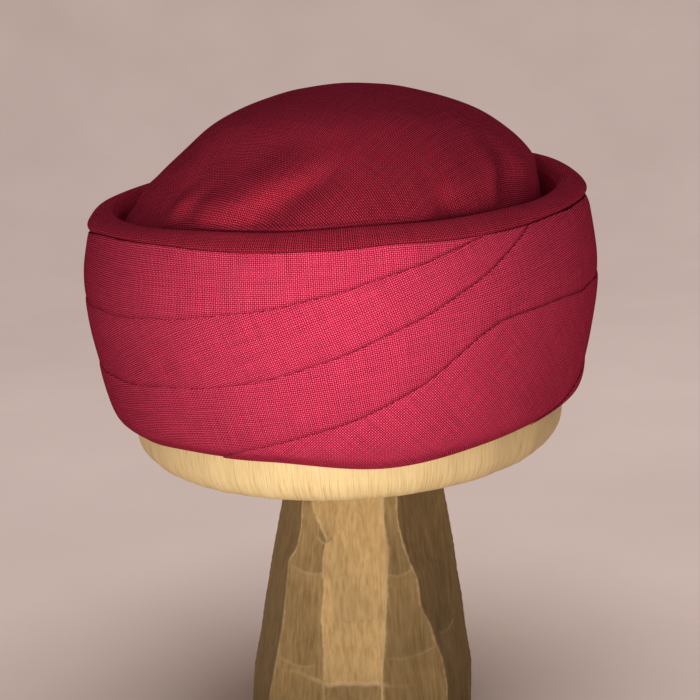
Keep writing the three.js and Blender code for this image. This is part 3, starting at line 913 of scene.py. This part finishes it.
def make_hewn_wood():
    made, tree, shader = new_material("hewn_wood", 0.7, Specular_IOR_Level=0.1)
    place = add_node(tree, "ShaderNodeTexCoord").outputs["Object"]
    tone = add_node(tree, "ShaderNodeAttribute", attribute_name="tone").outputs["Fac"]
    wear = add_node(tree, "ShaderNodeAttribute", attribute_name="wear").outputs["Fac"]
    fibre = grain(tree, place, (700.0, 700.0, 45.0), detail=4.0)
    stain = grain(tree, place, (75.0, 75.0, 40.0), detail=4.0, roughness=0.6)
    tones = (0.28, (0.400, 0.245, 0.092)), (0.52, (0.520, 0.340, 0.142)), (0.75, (0.610, 0.415, 0.190))
    colour = ramp(tree, fibre, *tones)
    colour = tinted(tree, colour, tone, 0.0, 1.0)
    colour = tinted(tree, colour, stain, 0.62, 1.38)
    frayed = sum_up(tree, "MULTIPLY", wear, sum_up(tree, "MULTIPLY_ADD", stain, 2.0, -0.35))
    pale = add_node(tree, "ShaderNodeCombineXYZ", enumerate(WORN_BROWN)).outputs[0]
    inputs = {0: sum_up(tree, "MINIMUM", frayed, 0.8), 4: colour, 5: pale}
    colour = add_node(tree, "ShaderNodeMix", inputs, data_type="VECTOR").outputs[1]
    tree.links.new(colour, shader.inputs["Base Color"])
    bump = add_node(tree, "ShaderNodeBump", {"Height": fibre, "Strength": 0.35, "Distance": 0.4 * MM})
    tree.links.new(bump.outputs[0], shader.inputs["Normal"])
    return made


worn = np.concatenate([wear for _, wear, _ in post_rings])
keep_on_mesh(post, "wear", worn)
keep_on_mesh(post, "tone", np.concatenate([tone for _, _, tone in post_rings]))
post.data.materials.append(make_hewn_wood())
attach(post, "root")
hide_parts("stand_post")
print(f"{100 * (worn > 0.5).mean():.0f}% of the post is worn edge")

# %% [markdown]
# ## Floor, backdrop and light
#
# The stand is shown on a plain pale sweep: a floor that curves up all round, so that no corner shows
# from any side. The hat is lit as in a small studio, with soft lamps close in front that a grid keeps
# narrow. The crown's lamp stands low, so that its folds show and its top stays deep in tone, and the
# rolled edge gets less light than the band. Both of these lamps are amber, which keeps a dark red from
# turning pink. The stand has a lamp at its left. A large lamp behind shapes the back, and one lights
# the sweep. Each lamp is linked to its own pieces, because one lamp for all would flatten the tones.


# %% Make the sweep
FLOOR_RADIUS = 1.0
SWEEP_RADIUS = 0.9
SWEEP_AROUND = 128
SWEEP_TONES = (0.3, (0.60, 0.49, 0.45)), (0.7, (0.64, 0.53, 0.485))


def make_sweep():
    """A floor that curves up all round."""
    made, tree, shader = new_material("pale_sweep", 0.9, Specular_IOR_Level=0.1)
    place = add_node(tree, "ShaderNodeTexCoord").outputs["Object"]
    colour = ramp(tree, grain(tree, place, (6.0, 6.0, 6.0)), *SWEEP_TONES)
    tree.links.new(colour, shader.inputs["Base Color"])
    profile = [(r, 0.0) for r in (0.001, *np.linspace(0.2, FLOOR_RADIUS, 9))]
    for bend in np.radians(np.linspace(0, 80, 24))[1:]:
        out, up = SWEEP_RADIUS * math.sin(bend), SWEEP_RADIUS * (1 - math.cos(bend))
        profile.append((FLOOR_RADIUS + out, up))
    turns = np.radians(np.arange(SWEEP_AROUND) * 360 / SWEEP_AROUND)
    rows = np.array([[(r * math.cos(t), r * math.sin(t), z) for t in turns] for r, z in profile])
    faces = []
    for i in range(len(profile) - 1):
        here, above = i * SWEEP_AROUND, (i + 1) * SWEEP_AROUND
        for j in range(SWEEP_AROUND):
            k = (j + 1) % SWEEP_AROUND
            faces.append((here + j, here + k, above + k, above + j))
    mesh = bpy.data.meshes.new("sweep")
    mesh.from_pydata(rows.reshape(-1, 3).tolist(), [], faces)
    mesh.shade_smooth()
    mesh.materials.append(made)
    floor = bpy.data.objects.new("sweep", mesh)
    floor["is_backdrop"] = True
    return floor


sweep = make_sweep()
stage_things = bpy.data.collections.new("stage")
bpy.context.scene.collection.children.link(stage_things)
stage_things.objects.link(sweep)
print("sweep laid under the foot at height 0")


# %% Light it
def lamp(name, place, target, size, watts, colour, spread=180):
    """A soft lamp that faces a target. A spread below 180 degrees is a grid in front of it."""
    data = bpy.data.lights.new(name, "AREA")
    data.shape = "RECTANGLE"
    data.size, data.size_y = size
    data.energy = watts
    data.spread = math.radians(spread)
    data.color = colour
    made = bpy.data.objects.new(name, data)
    back = np.array(place, float) - np.array(target, float)
    made.location = place
    made.rotation_mode = "QUATERNION"
    made.rotation_quaternion = Vector(back).to_track_quat("Z", "Y")
    data.specular_factor = 0.5
    made.visible_camera = False
    bpy.context.scene.collection.objects.link(made)
    return made


def lit_only(made, name, pieces, shaded_by=None):
    """Lets a lamp light these pieces alone, and be blocked only by the ones in shaded_by."""
    group = bpy.data.collections.new(name)
    bpy.context.scene.collection.children.link(group)
    for piece in pieces:
        group.objects.link(piece)
    made.light_linking.receiver_collection = group
    if shaded_by:
        blockers = bpy.data.collections.new(name + "_shade")
        bpy.context.scene.collection.children.link(blockers)
        for piece in shaded_by:
            blockers.objects.link(piece)
        made.light_linking.blocker_collection = blockers


WARM = (1.0, 0.94, 0.86)
AMBER = (1.0, 0.78, 0.63)  # keeps a dark red deep
PALE = (1.0, 0.98, 0.96)
SMALL = (0.1, 0.1)  # width and height of the lamps close in front, in metres
key = lamp("band_lamp", (-0.015, -0.43, 0.23), (-0.012, -0.117, 0.19), SMALL, 0.149, PALE, spread=47)
lit_only(key, "wound_band", strips)
low = lamp("crown_lamp", (-0.05, -0.43, 0.145), (-0.018, -0.09, 0.225), SMALL, 0.172, AMBER, spread=60)
lit_only(low, "soft_crown", [crown], shaded_by=[crown, band])
rim = lamp("roll_lamp", (-0.03, -0.43, 0.26), (-0.012, -0.11, 0.21), SMALL, 0.082, AMBER, spread=60)
lit_only(rim, "rolled_edge", [band])
side = lamp("stand_lamp", (-0.08, -0.43, 0.16), (-0.01, -0.1, 0.11), SMALL, 0.14, PALE, spread=60)
lit_only(side, "stand", [block, post])
back = lamp("back_lamp", (0.1, 0.75, 0.22), (0.0, 0.0, 0.15), (0.5, 0.3), 2.0, WARM)
lit_only(back, "hat_and_stand", [crown, band, *strips, block, post])
wash = lamp("sweep_lamp", (0.2, 0.2, 1.9), (0.0, 0.6, 0.0), (1.8, 1.8), 30.0, (1.0, 0.98, 0.97))
wash.light_linking.receiver_collection = stage_things
world = bpy.data.worlds.new("room")
bpy.context.scene.world = world
world.use_nodes = True
room_light = world.node_tree.nodes["Background"].inputs
room_light["Color"].default_value = (1.0, 0.95, 0.93, 1.0)
room_light["Strength"].default_value = 0.27
bpy.context.scene.view_settings.view_transform = "Standard"
near = sum(made.data.energy for made in (key, low, rim, side))
print(f"{near:.2f} W close in front and {back.data.energy:.0f} W behind")
print(f"{wash.data.energy:.0f} W on the sweep")

# %% [markdown]
# ## The camera
#
# The camera stands a little above the hat and looks slightly down on it. It was held a few degrees
# askew, so the picture has a roll, and the lens is a short telephoto.

# %% Set the camera
CAMERA_PLACE = (-5.7, -600.0, 280.0)
PITCH, YAW, ROLL = (math.radians(a) for a in (11.74, 0.72, -3.28))
PICTURE = 700  # pixels of the square picture
FOCAL = 1492  # focal length in the same pixels
forward = np.array([math.sin(YAW) * math.cos(PITCH), math.cos(YAW) * math.cos(PITCH), -math.sin(PITCH)])
level = np.array([math.cos(YAW), -math.sin(YAW), 0.0])
upward = np.cross(level, forward)
right = math.cos(ROLL) * level + math.sin(ROLL) * upward
top = -math.sin(ROLL) * level + math.cos(ROLL) * upward
camera_data = bpy.data.cameras.new("camera")
camera_data.sensor_width = 36.0
camera_data.lens = camera_data.sensor_width * FOCAL / PICTURE
camera = bpy.data.objects.new("camera", camera_data)
axes = np.stack([right, top, -forward], axis=1)
pose = np.eye(4)
pose[:3, :3] = axes
pose[:3, 3] = np.array(CAMERA_PLACE) * MM
camera.matrix_world = Matrix(pose.tolist())
bpy.context.scene.collection.objects.link(camera)
bpy.context.scene.camera = camera
print(f"lens {camera_data.lens:.1f} mm")

# %% [markdown]
# ## Is it still the same size?
#
# Cloth may stand a little proud of the solid, but the looks must not change the object's size. Both
# boxes are written down so that they can be compared.

# %% Compare the boxes and finish
seen_low, seen_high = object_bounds()
for axis, letter in enumerate("XYZ"):
    solid = cad_high[axis] - cad_low[axis]
    seen = seen_high[axis] - seen_low[axis]
    print(f"{letter}: solid {solid / MM:.1f} mm, dressed {seen / MM:.1f} mm")
